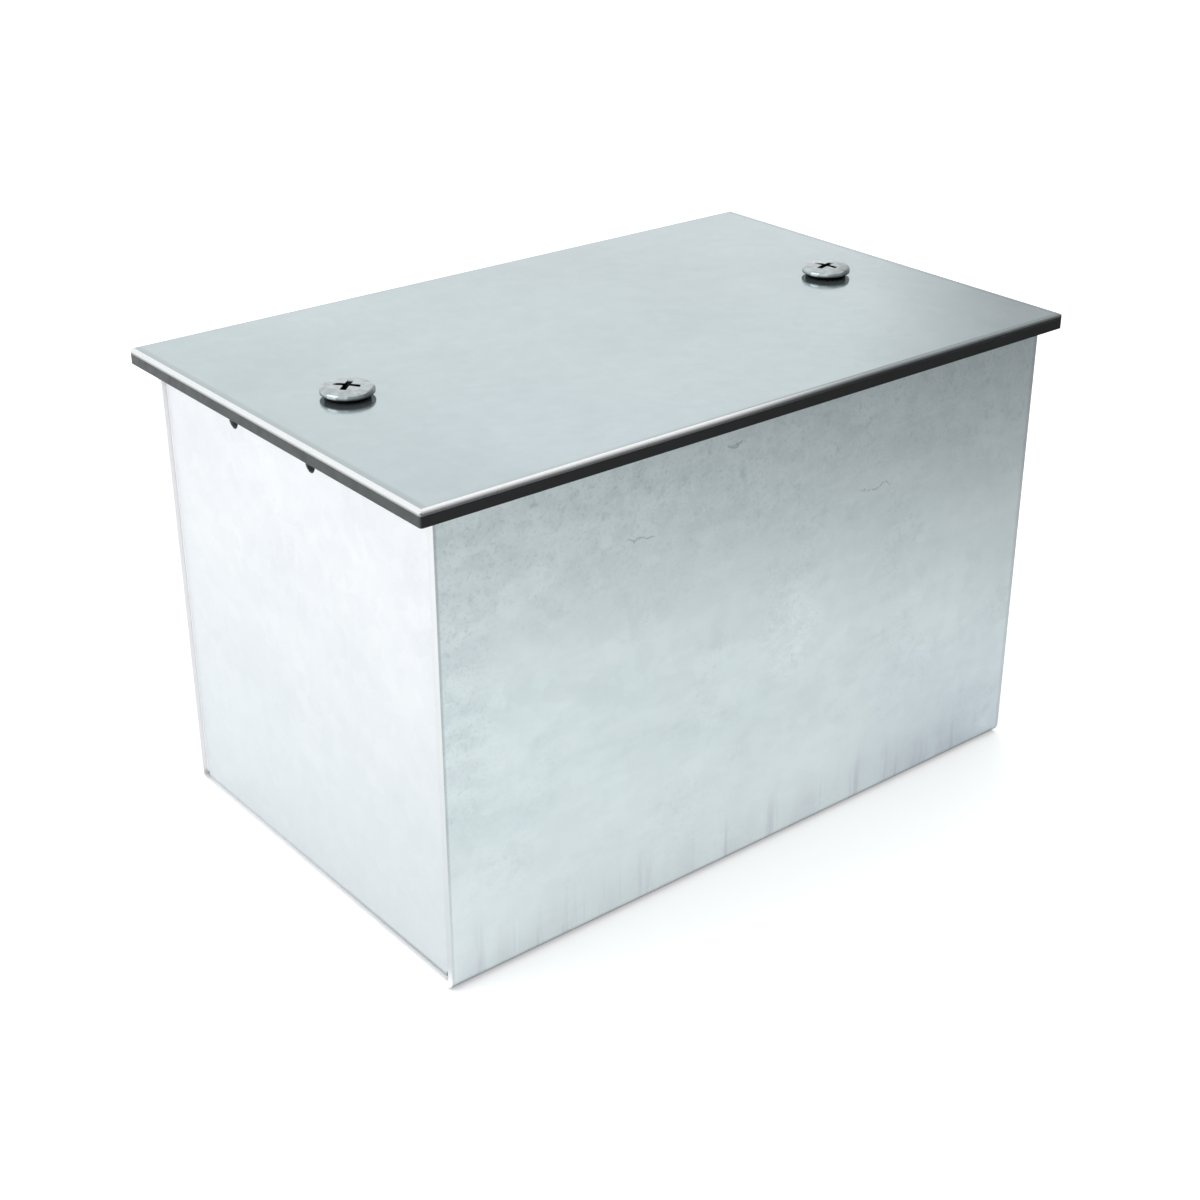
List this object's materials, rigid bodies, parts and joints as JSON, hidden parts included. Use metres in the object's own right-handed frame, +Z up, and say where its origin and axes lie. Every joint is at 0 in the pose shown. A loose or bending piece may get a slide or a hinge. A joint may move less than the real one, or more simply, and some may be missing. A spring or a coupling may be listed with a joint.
{
  "type": "metal junction box",
  "caption": "Rectangular galvanised steel junction box: a folded channel body with inset end plates, and an overhanging gasketed flat lid held by cross-recess screws.",
  "frame": {"origin": "under the middle of the base, on the surface that the box stands on", "axes": "+X along the box's long side, away from the end face that the picture shows; +Y across the box, away from the long wall that the picture shows; +Z up through the lid"},
  "size_m": [0.1686, 0.1078, 0.1077],
  "materials": {
    "body_galvanised": "satin, galvanised sheet steel with faint spangle",
    "end_galvanised": "satin, galvanised sheet steel",
    "lid_galvanised": "semi-gloss, galvanised sheet steel",
    "gasket_rubber": "matt, dark grey rubber",
    "seal_rubber": "matt, black rubber",
    "screw_zinc": "bright, zinc-plated steel",
    "stud_zinc": "satin, zinc-plated steel",
    "spring_zinc": "satin, zinc-plated spring steel",
    "terminal_brass": "satin, plain brass"
  },
  "bodies": {
    "root": {"body_channel": "body_galvanised", "end_plate_left": "end_galvanised", "end_plate_right": "end_galvanised", "lid": "lid_galvanised", "lid_gasket": "gasket_rubber", "seal_washer_left": "seal_rubber", "seal_washer_right": "seal_rubber", "lid_screw_left": "screw_zinc", "lid_screw_right": "screw_zinc", "earth_stud": "stud_zinc", "earth_nut_lower": "terminal_brass", "earth_washer": "terminal_brass", "earth_spring_washer": "spring_zinc", "earth_nut_upper": "terminal_brass"}
  },
  "joints": []
}
